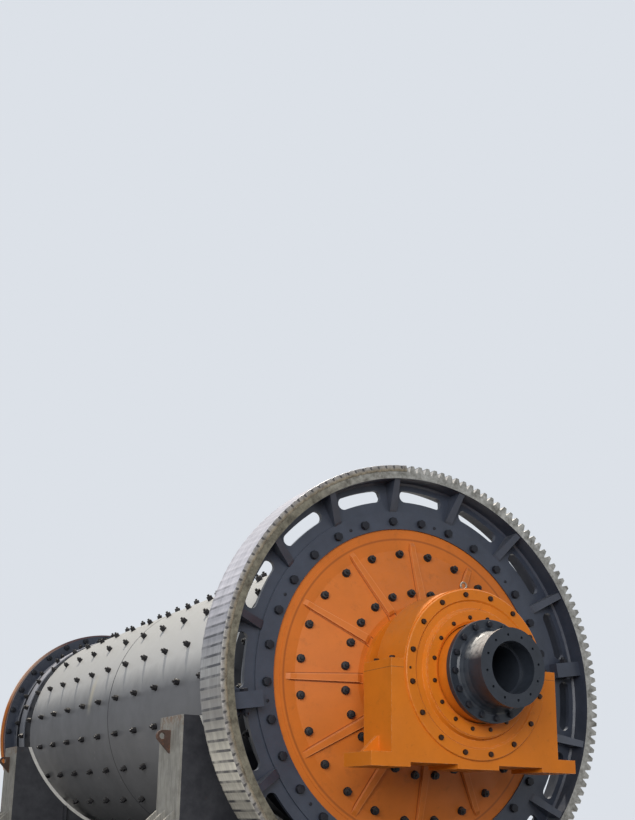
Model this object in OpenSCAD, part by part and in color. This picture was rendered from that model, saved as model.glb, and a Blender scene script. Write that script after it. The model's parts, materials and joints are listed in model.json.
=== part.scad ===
// Overflow ball mill drum with a split girth gear, two trunnion bearings and two shipping cradles.
// Millimetres. X across, Y along the drum with the gear at the low end, Z up from the ground.

/* [Overall] */
// Height of the drum's axis above the ground
axis_height = 1800; // [1700:2000]
// Length of the cylindrical shell between its two end faces
shell_length = 6940; // [5000:9000]
// Outside radius of the shell
shell_radius = 1143; // [1100:1180]
// Thickness of the shell plate
shell_wall = 28; // [16:40]

/* [Lining] */
// Pitch of the lining rings along the shell
ring_pitch = 500; // [400:600]
// Distance from the shell's gear end to the first ring of bolts
first_ring = 250; // [200:300]
// Rows of lining plates round the shell
lining_rows = 22; // [16:28]
// Thickness of the lining plates
lining_wall = 50; // [30:70]
// Height of the lifters over the plates
lifter_height = 45; // [20:70]

/* [Ends] */
// Width of the shell's end flanges
flange_width = 130; // [120:160]
// Thickness of the shell's end flanges
flange_wall = 90; // [60:110]
// Width of the head's rim outside the shell where the gear surrounds it
spigot_width = 23; // [12:40]
// Radial clearance between a head's rim and the gear's bore
spigot_gap = 0.5; // [0.4:0.8]
// Radius of the pad where the trunnion bolts on
pad_radius = 560; // [530:600]
// Width of the flat band inside a head's rim
band_width = 115; // [90:140]
// Rise of the conical head from its rim to its pad
head_rise = 121; // [80:160]
// Thickness of the head
head_wall = 75; // [50:100]
// Number of raised ribs on a head
head_ribs = 12; // [8:16]
// Angle of the first head rib
head_rib_angle = 0.8; // [0:30]

/* [Gear] */
// Gear module
gear_module = 22; // [18:26]
// Number of teeth, even so that the halves match
gear_teeth = 146; // [144:2:150]
// Width of the toothed face
gear_face = 332; // [280:380]
// Radial thickness of the rim inside the tooth roots
rim_wall = 51.5; // [40:70]
// Thickness of the web plate
web_wall = 34; // [24:50]
// Width of the bolted hub ring
hub_width = 139; // [120:160]
// Angle of the joint between the halves
joint_angle = 8.35; // [0:22]
// Spaces between the ribs round the gear
gear_cells = 16; // [12:20]
// Thickness of a gear rib at the rim
gear_rib = 50; // [36:60]
// Thickness of each joint lug
lug_wall = 55; // [40:70]
// Width of the slots in the web
slot_width = 90; // [70:110]
// Angle from a slot's middle to the centre of its round end
slot_half = 5.9; // [5:5.9]
// Extra thickness of a tooth on each flank, which leaves V-shaped gaps
tooth_fullness = 4.5; // [0:5]

/* [Trunnions] */
// Radius of the journal
journal_radius = 330; // [315:345]
// Radial running clearance of the journal in its bush
journal_gap = 0.08; // [0.02:0.1]
// Radius of the bore through the trunnion
trunnion_bore = 250; // [240:270]
// Distance from the shell end to the outer end of the journal
journal_reach = 920; // [880:960]
// Length of the cone between a trunnion's flange and its journal
neck_length = 160; // [120:180]
// Distance from the shell end to the mouth of the spout
spout_reach = 1181; // [1140:1250]
// Outside radius of the spout
spout_radius = 261; // [245:275]
// Radius of the feed bore
feed_radius = 173; // [150:185]
// Radius of the spout's bolted flange
spout_flange = 345; // [335:370]
// Thickness of the spout's bolted flange
spout_flange_wall = 40; // [30:60]
// Distance of the holes in the spout's mouth from its edge
mouth_inset = 48; // [36:60]
// Depth of a spout's mouth before its throat
throat_depth = 130; // [80:180]
// Radius of the holes in the spout's mouth
mouth_hole = 9; // [6:12]

/* [Bearings] */
// Distance from the shell end to the back of the housing
housing_back = 444; // [420:480]
// Depth of the housing along the drum
housing_depth = 341; // [300:380]
// Width of the housing body
housing_width = 1370; // [1300:1420]
// Width of the housing foot
foot_width = 1676; // [1600:1720]
// Distance from a housing's back face to its side gussets
gusset_inset = 190; // [120:240]
// Thickness of the housing foot
foot_wall = 90; // [70:110]
// Distance from the axis down to the housing's seat
centre_height = 635; // [610:680]
// Height of the shoulders over the axis
shoulder = 58; // [40:80]
// Thickness of the bearing bush
bush_wall = 54; // [40:70]
// Outside radius of the bolted cover
cover_radius = 579; // [560:600]
// Width of the cover's bolted land
cover_land = 74; // [60:90]
// Width of the cover's inner ring
seal_width = 87; // [70:100]
// Distance of each recess under the foot from the middle
recess_start = 169; // [120:220]
// Width of each recess under the foot
recess_width = 373; // [300:420]
// Height of each recess under the foot
recess_height = 30; // [15:50]
// Radius of the anchor bolt holes in the foot
anchor_hole = 21; // [16:26]

/* [Cradles] */
// Depth of a cradle along the drum
cradle_depth = 405; // [360:410]
// Distance of the side posts' outer face from the shell
post_gap = 389; // [370:420]
// Height of the post tops below the axis
post_drop = 248; // [200:280]
// Thickness of the cradle plates
cradle_plate = 24; // [16:30]
// Thickness of the saddle strip under the shell
saddle_wall = 32; // [20:50]
// Extra radius of the saddle over the shell, which rests on its lowest line
saddle_slack = 335; // [320:350]
// Gap between the saddle strip and the shell
saddle_gap = 0.3; // [0.2:0.5]
// Spread of the fins at the foot of each post
fin_spread = 300; // [240:400]
// Distance from a post's top to the top of its fins
fin_start = 665; // [560:760]
// Thickness of the ground plate
sill_wall = 30; // [20:50]
// Radius of the hole in each lifting eye
eye_hole = 24; // [18:28]
// Distance from a post's top to the hole of its lifting eye
eye_depth = 145; // [120:200]
// Length of the eye's plate below its hole
eye_tail = 123; // [90:150]

/* [Hidden] */
$fn = 96;
half_shell = shell_length / 2;
shell_bore = shell_radius - shell_wall;
lining_bore = shell_bore - lining_wall;
ring_start = -half_shell + first_ring;
ring_count = floor((shell_length - first_ring - flange_wall) / ring_pitch) + 1;
flange_radius = shell_radius + flange_width;
spigot_radius = shell_radius + spigot_width;
rim_radius = flange_radius + 26;
hub_radius = spigot_radius + hub_width;
gear_bore = spigot_radius + spigot_gap;
tooth_outer = gear_module * (gear_teeth + 2) / 2;
tooth_root = tooth_outer - 2.25 * gear_module;
rim_inner = tooth_root - rim_wall;
gear_front = -182;
gear_back = gear_front + gear_face;
hub_front = -44;
web_front = gear_front + gear_face / 2 - web_wall / 2;
web_back = web_front + web_wall;
slot_circle = (hub_radius + rim_inner) / 2 + 11;
head_rim = -31;
rim_front = head_rim - 8;
cone_radius = shell_bore - band_width;
pad_front = rim_front - head_rise;
pad_back = pad_front + head_wall;
cone_back = rim_front + head_wall;
head_lining_wall = 44;
trunnion_spigot = 420;
neck_radius = 400;
neck_front = pad_front - 60;
neck_end = neck_front - neck_length;
mouth_circle = spout_radius - mouth_inset;
throat_radius = feed_radius - 18;
throat_start = throat_depth - spout_reach;
spout_back = -journal_reach - spout_flange_wall;
housing_front = -housing_back - housing_depth;
bush_radius = journal_radius + bush_wall;
seal_gap = 8;
seal_bore = journal_radius + seal_gap;
seal_radius = seal_bore + seal_width;
groove_outer = cover_radius - cover_land;
dome_radius = cover_radius + 7;
cover_front = housing_front - 16;
seal_front = housing_front - 39;
body_half = housing_width / 2;
foot_half = foot_width / 2;
foot_top = foot_wall - centre_height;
anchor_inset = 70;
saddle_bore = shell_radius + saddle_slack;
saddle_radius = saddle_bore + saddle_wall;
saddle_rise = saddle_slack - saddle_gap;
nut_clear = 40;
near_ring = ring_start + ring_pitch;
far_ring = ring_start + (ring_count - 4) * ring_pitch;
near_cradle = near_ring - nut_clear - cradle_plate;
far_cradle = far_ring + nut_clear + 10;
post_reach = shell_radius + post_gap;
floor_drop = -axis_height;
sill_top = floor_drop + sill_wall;
fin_reach = post_reach + fin_spread;
fin_top = -post_drop - fin_start;
eye_drop = post_drop + eye_depth;
beyond = 2 * tooth_outer;

// Lift onto the drum's axis
module lifted() {
  translate([0, 0, axis_height]) children();
}

// Gear end, measured from the shell's end face, outwards being negative
module gear_end() {
  translate([0, -half_shell, axis_height]) children();
}

// Plain end, the gear end mirrored
module plain_end() {
  translate([0, half_shell, axis_height]) mirror([0, 1, 0]) children();
}

// Solid turned about the drum's axis from a profile of radius and distance
module turned() {
  rotate([-90, 0, 0]) rotate_extrude() children();
}

// Round bar or hole along the drum's axis
module rod(r, y0, y1) {
  translate([0, y1, 0]) rotate([90, 0, 0]) cylinder(r = r, h = y1 - y0);
}

// Plate square to the drum's axis from an outline across and up
module plate(y0, y1) {
  translate([0, y1, 0]) rotate([90, 0, 0]) linear_extrude(height = y1 - y0) children();
}

// Turn to an angle round the drum's axis, from across towards up
module polar(a) {
  rotate([0, -a, 0]) children();
}

// Block between two corners
module block(a, b) {
  translate(a) cube([b[0] - a[0], b[1] - a[1], b[2] - a[2]]);
}

// Shell plate
module shell_body() {
  turned() polygon([
    [shell_bore, -half_shell], [shell_radius, -half_shell],
    [shell_radius, half_shell], [shell_bore, half_shell]
  ]);
}

module mill_shell() {
  color([0.29, 0.30, 0.32]) lifted() shell_body();
}

// Lining plates with lifters
module shell_lining() {
  lining_end = half_shell - cone_back - head_lining_wall;
  color([0.42, 0.40, 0.38]) lifted() union() {
    turned() polygon([
      [lining_bore, -lining_end], [shell_bore, -lining_end],
      [shell_bore, lining_end], [lining_bore, lining_end]
    ]);
    for (i = [0 : lining_rows - 1]) {
      polar(i * 360 / lining_rows + 6) translate([lining_bore + 12, 0, 0])
        plate(30 - lining_end, lining_end - 30)
          polygon([[0, -50], [0, 50], [-lifter_height - 12, 28], [-lifter_height - 12, -28]]);
    }
  }
}

// Ring on the shell's end
module end_flange() {
  turned() polygon([
    [shell_radius, 0], [flange_radius, 0], [flange_radius, flange_wall],
    [shell_radius + 16, flange_wall], [shell_radius, flange_wall + 16]
  ]);
}

module gear_end_flange() {
  color([0.22, 0.24, 0.28]) gear_end() end_flange();
}

module plain_end_flange() {
  color([0.22, 0.24, 0.28]) plain_end() end_flange();
}

// Conical head with a fine step inside its rim
module head_disc(r) {
  turned() polygon([
    [r, 0], [r, head_rim], [shell_bore, head_rim], [shell_bore, rim_front + 4],
    [cone_radius, rim_front], [pad_radius, pad_front], [trunnion_spigot, pad_front],
    [trunnion_spigot, pad_back], [pad_radius - 15, pad_back], [cone_radius, cone_back],
    [shell_bore - 2, cone_back], [shell_bore - 2, 0]
  ]);
}

// Raised rib that follows the cone and runs out on the flat band
module head_rib() {
  intersection() {
    translate([0, 0, -40]) linear_extrude(height = 80) polygon([
      [pad_radius - 10, pad_front + 20], [pad_radius - 10, pad_front - 16], [pad_radius + 14, pad_front - 22],
      [cone_radius - 6, rim_front - 22], [cone_radius + 40, rim_front - 14],
      [shell_bore - 32, rim_front + 10], [cone_radius, rim_front + 12]
    ]);
    plate(pad_front - 40, rim_front + 30) polygon([
      [pad_radius - 30, -30], [shell_bore, -19], [shell_bore, 19], [pad_radius - 30, 30]
    ]);
  }
}

module head(r) {
  union() {
    head_disc(r);
    for (i = [0 : head_ribs - 1]) polar(head_rib_angle + i * 360 / head_ribs) head_rib();
  }
}

module gear_end_head() {
  color([0.72, 0.38, 0.17]) gear_end() head(spigot_radius);
}

module plain_end_head() {
  color([0.72, 0.38, 0.17]) plain_end() head(rim_radius);
}

// Wear plates inside a head
module head_lining() {
  turned() polygon([
    [trunnion_spigot + 5, pad_back], [pad_radius - 15, pad_back], [cone_radius, cone_back],
    [lining_bore - 10, cone_back], [lining_bore - 10, cone_back + head_lining_wall],
    [cone_radius - 10, cone_back + head_lining_wall], [pad_radius - 20, pad_back + head_lining_wall],
    [trunnion_spigot + 5, pad_back + head_lining_wall]
  ]);
}

module gear_end_head_lining() {
  color([0.42, 0.40, 0.38]) gear_end() head_lining();
}

module plain_end_head_lining() {
  color([0.42, 0.40, 0.38]) plain_end() head_lining();
}

// Involute tooth, its flanks as five points each, round a centre angle
pitch_angle = 360 / gear_teeth;
half_teeth = gear_teeth / 2;
pitch_radius = gear_module * gear_teeth / 2;
base_radius = pitch_radius * cos(20);
fillet = 0.16 * gear_module;
flank_radii = [
  tooth_root + fillet, tooth_root + 0.75 * gear_module, pitch_radius,
  pitch_radius + 0.6 * gear_module, tooth_outer
];
function at(r, a) = [r * cos(a), r * sin(a)];
function spread(r) = tan(acos(base_radius / r)) * 180 / PI - acos(base_radius / r);
half_pitch_tooth = pitch_angle / 4 - 0.04 + tooth_fullness / pitch_radius * 180 / PI;
function half_tooth(r) = half_pitch_tooth + spread(pitch_radius) - spread(r);
function tooth(c) = [
  at(tooth_root, c - half_tooth(flank_radii[0]) - 0.13),
  for (r = flank_radii) at(r, c - half_tooth(r)),
  for (i = [4 : -1 : 0]) at(flank_radii[i], c + half_tooth(flank_radii[i])),
  at(tooth_root, c + half_tooth(flank_radii[0]) + 0.13)
];

// Outline of half the gear, its joint on the straight side
half_outline = [
  [0, 0], at(tooth_root, 0),
  for (i = [0 : half_teeth - 1]) for (p = tooth((i + 0.5) * pitch_angle)) p,
  at(tooth_root, 180)
];

// Toothed rim of one half
module rim_half() {
  difference() {
    plate(gear_front, gear_back) polygon(half_outline);
    rod(rim_inner, gear_front - 1, gear_back + 1);
  }
}

// Web, hub ring and ribs, whole circle
module gear_centre() {
  corner = 14;
  difference() {
    union() {
      turned() polygon([
        [gear_bore, hub_front], [hub_radius, hub_front], [hub_radius, web_front],
        [rim_inner - corner, web_front], [rim_inner, web_front - corner], [rim_inner + 4, web_front - corner],
        [rim_inner + 4, web_back + corner], [rim_inner, web_back + corner], [rim_inner - corner, web_back],
        [hub_radius, web_back], [hub_radius, 0], [gear_bore, 0]
      ]);
      for (i = [0 : gear_cells - 1]) {
        if (i % (gear_cells / 2) != 0) {
          polar(i * 360 / gear_cells) gear_ribs();
        }
      }
    }
    for (i = [0 : gear_cells - 1]) polar((i + 0.5) * 360 / gear_cells) arc_slot();
  }
}

// Rib on both sides of the web, wider at the hub, its front edge sloping out to the rim
module gear_ribs() {
  root = hub_radius - 12;
  end = rim_inner + 3;
  intersection() {
    translate([0, 0, -gear_rib]) linear_extrude(height = 2 * gear_rib) polygon([
      [root, hub_front + 4], [hub_radius + 10, hub_front - 14], [end, gear_front + 14],
      [end, gear_back - 14], [hub_radius + 10, web_back + 40], [root, web_back - 4]
    ]);
    plate(gear_front, gear_back) polygon([
      [root, -0.64 * gear_rib], [end, -0.5 * gear_rib], [end, 0.5 * gear_rib], [root, 0.64 * gear_rib]
    ]);
  }
}

// Slot that follows a circle, with round ends
module arc_slot() {
  y0 = web_front - 5;
  y1 = web_back + 5;
  polar(-slot_half) translate([slot_circle, 0, 0]) rod(slot_width / 2, y0, y1);
  polar(slot_half) translate([slot_circle, 0, 0]) rod(slot_width / 2, y0, y1);
  intersection() {
    turned() polygon([
      [slot_circle - slot_width / 2, y0], [slot_circle + slot_width / 2, y0],
      [slot_circle + slot_width / 2, y1], [slot_circle - slot_width / 2, y1]
    ]);
    plate(y0, y1) polygon([[0, 0], at(beyond, -slot_half), at(beyond, slot_half)]);
  }
}

// Lugs of one half where the halves meet, bored for the joint bolts
module lugs() {
  inner = hub_radius - 10;
  outer = rim_inner + 3;
  bolt = (inner + outer) / 2;
  for (s = [0, 1]) mirror([s, 0, 0]) {
    difference() {
      block([inner, gear_front + 50, 0], [outer, gear_back - 50, lug_wall]);
      for (y = [gear_front + 95, gear_back - 95]) translate([bolt, y, -1]) cylinder(r = 19, h = lug_wall + 2);
    }
  }
}

module gear_half() {
  union() {
    rim_half();
    lugs();
    intersection() {
      gear_centre();
      block([-beyond, gear_front - 10, 0], [beyond, gear_back + 10, beyond]);
    }
  }
}

module gear_upper_half() {
  color([0.25, 0.27, 0.31]) gear_end() polar(joint_angle) gear_half();
}

module gear_lower_half() {
  color([0.25, 0.27, 0.31]) gear_end() polar(joint_angle + 180) gear_half();
}

// Hollow trunnion with its flange and journal
module trunnion() {
  turned() polygon([
    [trunnion_bore, -journal_reach], [journal_radius, -journal_reach], [journal_radius, neck_end],
    [neck_radius, neck_front - 30], [neck_radius + 20, neck_front], [pad_radius - 40, neck_front],
    [pad_radius - 40, pad_front], [trunnion_spigot, pad_front], [trunnion_spigot, pad_back],
    [trunnion_bore, pad_back]
  ]);
}

module gear_end_trunnion() {
  color([0.55, 0.55, 0.56]) gear_end() trunnion();
}

module plain_end_trunnion() {
  color([0.55, 0.55, 0.56]) plain_end() trunnion();
}

// Flanged spout with its tube through the trunnion
module spout() {
  difference() {
    turned() polygon([
      [feed_radius, -spout_reach], [spout_radius, -spout_reach], [spout_radius, -spout_reach + 26],
      [spout_radius - 10, -spout_reach + 30], [spout_radius - 8, spout_back - 76],
      [spout_radius + 2, spout_back - 34], [spout_radius + 16, spout_back - 10],
      [spout_radius + 28, spout_back],
      [spout_flange - 4, spout_back], [spout_flange, spout_back + 4], [spout_flange, -journal_reach],
      [feed_radius + 37, -journal_reach], [feed_radius + 37, pad_back - 40], [trunnion_bore, pad_back - 40],
      [trunnion_bore, pad_back], [throat_radius, pad_back], [throat_radius, throat_start],
      [feed_radius, throat_start]
    ]);
    for (i = [0 : 11]) {
      polar(9 + i * 30) translate([mouth_circle, 0, 0]) rod(mouth_hole, -spout_reach - 1, 60 - spout_reach);
    }
  }
}

module gear_end_spout() {
  color([0.22, 0.24, 0.28]) gear_end() spout();
}

module plain_end_spout() {
  color([0.22, 0.24, 0.28]) plain_end() spout();
}

// Lower half of a bearing housing, with a recessed foot and side gussets
module housing_base() {
  gusset = 34;
  difference() {
    union() {
      block([-body_half, housing_front, -centre_height], [body_half, -housing_back, 0]);
      block([-foot_half, housing_front, -centre_height], [foot_half, -housing_back, foot_top]);
      for (s = [0, 1]) mirror([s, 0, 0]) {
        plate(-housing_back - gusset_inset, gusset - housing_back - gusset_inset) polygon([
          [body_half - 1, foot_top - 1], [foot_half - gusset, foot_top - 1],
          [foot_half - gusset, foot_top + 10],
          [body_half + 14, foot_top + 108], [body_half - 1, foot_top + 108]
        ]);
      }
    }
    rod(bush_radius, housing_front - 1, 1 - housing_back);
    for (s = [0, 1]) mirror([s, 0, 0]) {
      block([recess_start, housing_front - 1, -centre_height - 1],
            [recess_start + recess_width, 1 - housing_back, recess_height - centre_height]);
      for (y = [housing_front + anchor_inset, -housing_back - anchor_inset]) {
        translate([foot_half - anchor_inset, y, -centre_height - 1])
          cylinder(r = anchor_hole, h = foot_wall + 2);
      }
    }
  }
}

// Upper half of a bearing housing
module housing_cap() {
  difference() {
    union() {
      block([-body_half, housing_front, 0], [body_half, -housing_back, shoulder]);
      intersection() {
        rod(dome_radius, housing_front, -housing_back);
        block([-beyond, housing_front - 1, 0], [beyond, 1 - housing_back, beyond]);
      }
    }
    rod(bush_radius, housing_front - 1, 1 - housing_back);
  }
}

// Bush between journal and housing
module bush() {
  turned() polygon([
    [journal_radius + journal_gap, housing_front + 40], [bush_radius, housing_front + 40],
    [bush_radius, -housing_back - 40], [journal_radius + journal_gap, -housing_back - 40]
  ]);
}

// Bolted covers at the front and back of a housing, the front one with a ring groove
module cover() {
  back_radius = cover_radius - 60;
  turned() polygon([
    [seal_radius, housing_front], [cover_radius, housing_front], [cover_radius, cover_front + 5],
    [cover_radius - 5, cover_front], [groove_outer, cover_front], [groove_outer - 12, housing_front - 5],
    [seal_radius + 22, housing_front - 5], [seal_radius + 8, seal_front + 8], [seal_radius, seal_front + 8]
  ]);
  turned() polygon([
    [seal_bore + 6, -housing_back], [back_radius, -housing_back], [back_radius, 20 - housing_back],
    [seal_bore + 6, 20 - housing_back]
  ]);
}

// Inner ring of the front cover
module seal() {
  turned() polygon([
    [seal_bore, housing_front], [seal_radius, housing_front], [seal_radius, seal_front],
    [seal_bore + 18, seal_front],
    [seal_bore, seal_front + 10]
  ]);
}

module gear_end_housing_base() {
  color([0.82, 0.46, 0.16]) gear_end() housing_base();
}

module gear_end_housing_cap() {
  color([0.82, 0.46, 0.16]) gear_end() housing_cap();
}

module gear_end_bush() {
  color([0.66, 0.52, 0.28]) gear_end() bush();
}

module gear_end_cover() {
  color([0.82, 0.46, 0.16]) gear_end() cover();
}

module gear_end_seal() {
  color([0.82, 0.46, 0.16]) gear_end() seal();
}

module plain_end_housing_base() {
  color([0.82, 0.46, 0.16]) plain_end() housing_base();
}

module plain_end_housing_cap() {
  color([0.82, 0.46, 0.16]) plain_end() housing_cap();
}

module plain_end_bush() {
  color([0.66, 0.52, 0.28]) plain_end() bush();
}

module plain_end_cover() {
  color([0.82, 0.46, 0.16]) plain_end() cover();
}

module plain_end_seal() {
  color([0.82, 0.46, 0.16]) plain_end() seal();
}

// Height of the saddle's underside at a distance from the middle
function seat(x) = saddle_rise - sqrt(pow(saddle_radius, 2) - x * x);

// Cross plate of a cradle, cut round to the saddle
module cradle_web(y0) {
  difference() {
    block([-post_reach + 20, y0, sill_top], [post_reach - 20, y0 + cradle_plate, -post_drop]);
    translate([0, 0, saddle_rise]) rod(saddle_radius, y0 - 1, y0 + cradle_plate + 1);
  }
}

// Two cross plates with stiffeners before and between them
module webs(y0) {
  back = y0 + cradle_depth - cradle_plate;
  front_rib = 955;
  middle_rib = 480;
  half = 11;
  cradle_web(y0);
  cradle_web(back);
  for (s = [0, 1]) mirror([s, 0, 0]) {
    block([front_rib - half, y0 - 70, sill_top], [front_rib + half, y0, seat(front_rib - half) - 4]);
    block([middle_rib - half, y0 + cradle_plate, sill_top],
          [middle_rib + half, back, seat(middle_rib - half) - 1]);
  }
}

// Box-shaped side posts with fins
module posts(y0) {
  side = 20;
  inside = 110;
  fin = 18;
  front = y0 + cradle_plate;
  back = y0 + cradle_depth - cradle_plate;
  for (s = [0, 1]) mirror([s, 0, 0]) {
    block([post_reach - side, y0, sill_top], [post_reach, y0 + cradle_depth, -post_drop]);
    block([post_reach - inside, front, -post_drop - side], [post_reach - side, back, -post_drop]);
    block([post_reach - inside - side, front, sill_top], [post_reach - inside, back, -post_drop]);
    for (y = [y0 + 50, y0 + 0.58 * cradle_depth, y0 + cradle_depth - fin]) plate(y, y + fin) polygon([
      [post_reach - 1, fin_top], [fin_reach - 20, fin_top - 0.86 * fin_spread],
      [fin_reach - 20, sill_top], [post_reach - 1, sill_top]
    ]);
  }
}

// Ground plate under a cradle
module sill(y0) {
  block([-fin_reach - 35, y0 - 90, floor_drop], [fin_reach + 35, y0 + cradle_depth + 40, sill_top]);
}

// Saddle strip under the shell, between the post tops
module strip(y0, y1) {
  translate([0, 0, saddle_rise]) difference() {
    rod(saddle_radius, y0, y1, $fn = 720);
    rod(saddle_bore, y0 - 1, y1 + 1, $fn = 720);
    block([-beyond, y0 - 1, -post_drop - saddle_rise], [beyond, y1 + 1, beyond]);
  }
}

// The near saddle is left open round a ring of bolts
module near_saddle() {
  strip(near_cradle - 6, near_ring - nut_clear);
  strip(near_ring + nut_clear, near_cradle + cradle_depth);
}

module far_saddle() {
  strip(far_cradle - 6, far_cradle + cradle_depth);
}

// Lifting eye on each post
module eyes(y0) {
  wall = 30;
  y = y0 + (cradle_depth - wall) / 2;
  tip = post_reach + 62;
  round = 42;
  for (s = [0, 1]) mirror([s, 0, 0]) difference() {
    union() {
      plate(y, y + wall) polygon([
        [post_reach, round - eye_drop], [tip, round - eye_drop], [tip + 0.8 * round, -0.6 * round - eye_drop],
        [post_reach, -eye_tail - eye_drop]
      ]);
      translate([tip, 0, -eye_drop]) rod(round, y, y + wall);
    }
    translate([tip, 0, -eye_drop]) rod(eye_hole, y - 1, y + wall + 1);
  }
}

module near_cradle_webs() {
  color([0.14, 0.15, 0.17]) lifted() webs(near_cradle);
}

module near_cradle_posts() {
  color([0.49, 0.49, 0.46]) lifted() posts(near_cradle);
}

module near_cradle_sill() {
  color([0.35, 0.34, 0.32]) lifted() sill(near_cradle);
}

module near_cradle_saddle() {
  color([0.60, 0.60, 0.58]) lifted() near_saddle();
}

module near_cradle_eyes() {
  color([0.35, 0.25, 0.22]) lifted() eyes(near_cradle);
}

module far_cradle_webs() {
  color([0.14, 0.15, 0.17]) lifted() webs(far_cradle);
}

module far_cradle_posts() {
  color([0.49, 0.49, 0.46]) lifted() posts(far_cradle);
}

module far_cradle_sill() {
  color([0.35, 0.34, 0.32]) lifted() sill(far_cradle);
}

module far_cradle_saddle() {
  color([0.60, 0.60, 0.58]) lifted() far_saddle();
}

module far_cradle_eyes() {
  color([0.35, 0.25, 0.22]) lifted() eyes(far_cradle);
}

mill_shell();
shell_lining();
gear_end_flange();
plain_end_flange();
gear_end_head();
plain_end_head();
gear_end_head_lining();
plain_end_head_lining();
gear_upper_half();
gear_lower_half();
gear_end_trunnion();
plain_end_trunnion();
gear_end_spout();
plain_end_spout();
gear_end_housing_base();
gear_end_housing_cap();
gear_end_bush();
gear_end_cover();
gear_end_seal();
plain_end_housing_base();
plain_end_housing_cap();
plain_end_bush();
plain_end_cover();
plain_end_seal();
near_cradle_webs();
near_cradle_posts();
near_cradle_sill();
near_cradle_saddle();
near_cradle_eyes();
far_cradle_webs();
far_cradle_posts();
far_cradle_sill();
far_cradle_saddle();
far_cradle_eyes();
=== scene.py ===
"""Dresses a ball mill on its cradles: paint, worn metal, and every nut and bolt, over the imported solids."""
import json
import math
from types import SimpleNamespace

import bpy
import numpy as np
from mathutils import Matrix, Vector

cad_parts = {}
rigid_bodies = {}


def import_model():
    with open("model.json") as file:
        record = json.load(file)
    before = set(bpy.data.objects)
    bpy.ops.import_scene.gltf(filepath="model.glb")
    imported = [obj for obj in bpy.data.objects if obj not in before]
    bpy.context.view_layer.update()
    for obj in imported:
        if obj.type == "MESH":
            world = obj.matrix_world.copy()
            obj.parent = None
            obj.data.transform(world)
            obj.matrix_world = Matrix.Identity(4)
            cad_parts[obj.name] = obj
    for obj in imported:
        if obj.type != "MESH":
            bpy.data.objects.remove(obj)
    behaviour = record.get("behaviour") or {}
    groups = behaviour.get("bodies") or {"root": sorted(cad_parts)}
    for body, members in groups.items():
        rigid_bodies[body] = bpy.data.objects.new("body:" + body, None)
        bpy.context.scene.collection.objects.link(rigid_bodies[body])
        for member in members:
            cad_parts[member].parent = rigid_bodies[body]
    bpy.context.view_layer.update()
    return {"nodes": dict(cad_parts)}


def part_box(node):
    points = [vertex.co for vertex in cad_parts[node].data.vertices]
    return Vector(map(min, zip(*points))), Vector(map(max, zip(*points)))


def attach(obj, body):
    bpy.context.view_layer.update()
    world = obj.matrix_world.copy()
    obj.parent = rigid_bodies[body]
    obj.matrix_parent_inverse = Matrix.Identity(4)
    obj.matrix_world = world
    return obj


for leftover in list(bpy.data.objects):
    bpy.data.objects.remove(leftover)

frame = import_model()

bl_info = {
    "name": "Ball mill on cradles",
    "version": (1, 0, 0),
    "blender": (4, 5, 0),
    "location": "View3D > Sidebar > Mill",
    "description": "Finishes and fasteners of a ball mill with a split girth gear",
    "category": "Object",
}

# Places taken from the solids, in metres
SHELL_LOW, SHELL_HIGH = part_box("mill_shell")
SHELL_RADIUS = (SHELL_HIGH.x - SHELL_LOW.x) / 2
HALF_SHELL = SHELL_HIGH.y
AXIS = (SHELL_HIGH.z + SHELL_LOW.z) / 2
GEAR_LOW, GEAR_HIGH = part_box("gear_upper_half")
GEAR_OUTER = max(GEAR_HIGH.x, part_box("gear_lower_half")[1].x)
TOOTH_DEPTH = 0.0495
RIM_WALL = 0.0515
GEAR_ROOT = GEAR_OUTER - TOOTH_DEPTH
GEAR_BORE = GEAR_ROOT - RIM_WALL
CAP_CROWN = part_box("gear_end_housing_cap")[1].z
ENDS = (("gear_end", -1.0), ("plain_end", 1.0))
CRADLES = ("near_cradle", "far_cradle")

# Distances outward from a shell's end, in metres
HUB_FACE = 0.044
RIM_FACE = 0.031
CONE_EDGE = 0.039
CONE_RISE = 0.121
FLANGE_BACK = -0.090
COLLAR_NUTS = -0.466
JOINT_ROWS = (0.087, -0.055)
HOUSING_BACK = 0.444
HOUSING_FRONT = 0.785
CAP_BOLT_ROWS = (0.535, 0.725)
CAP_FITTINGS = 0.690
COVER_FACE = 0.801
SEAL_FACE = 0.824
SPOUT_FACE = 0.960

# Radii about the drum's axis, in metres
CONE_OUTER = 1.000
CONE_INNER = 0.560
HEAD_BAND = 1.088
HEAD_EDGE = 1.270
LUG_INNER = 1.295
TRUNNION_BORE = 0.260
SPOUT_BORE = 0.235
HOUSING_BLOCK = 0.588
UPPER_PLUG_CIRCLE = 0.434
SIDE_PLUG_CIRCLE = 0.547

# The gear's teeth and joint and the heads' ribs; angles in degrees
GEAR_TEETH = 146
JOINT_ANGLE = 8.35
HEAD_RIBS = 12
HEAD_RIB_ANGLE = 0.8
HEAD_RIB_FOOT = 0.030
HEAD_RIB_TIP = 0.019

# Where lifting gear has scuffed the shell: metres along it from its middle, degrees round it
SCUFFS = (
    (0.642, 211), (0.712, 217), (0.548, 201), (0.350, 209.5),
    (0.060, 213), (0.200, 223), (0.290, 228), (0.505, 198),
)
# How far from the shell's middle paint has run down it
RUN_ALONG = 0.610
# Layers of the film's mesh: where it lies on a tip, where its fold hangs over a gap, how far down it folds
FILM_LAYERS = ("touch", "gap", "fold")


def linear(code):
    """The linear colour of an sRGB hex code."""
    parts = [int(code[i : i + 2], 16) / 255 for i in (1, 3, 5)]
    return tuple(c / 12.92 if c <= 0.04045 else ((c + 0.055) / 1.055) ** 2.4 for c in parts)


def rgba(colour):
    """A colour with its alpha, from a hex code or a linear triple."""
    return (*(linear(colour) if isinstance(colour, str) else tuple(colour)), 1.0)


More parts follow.
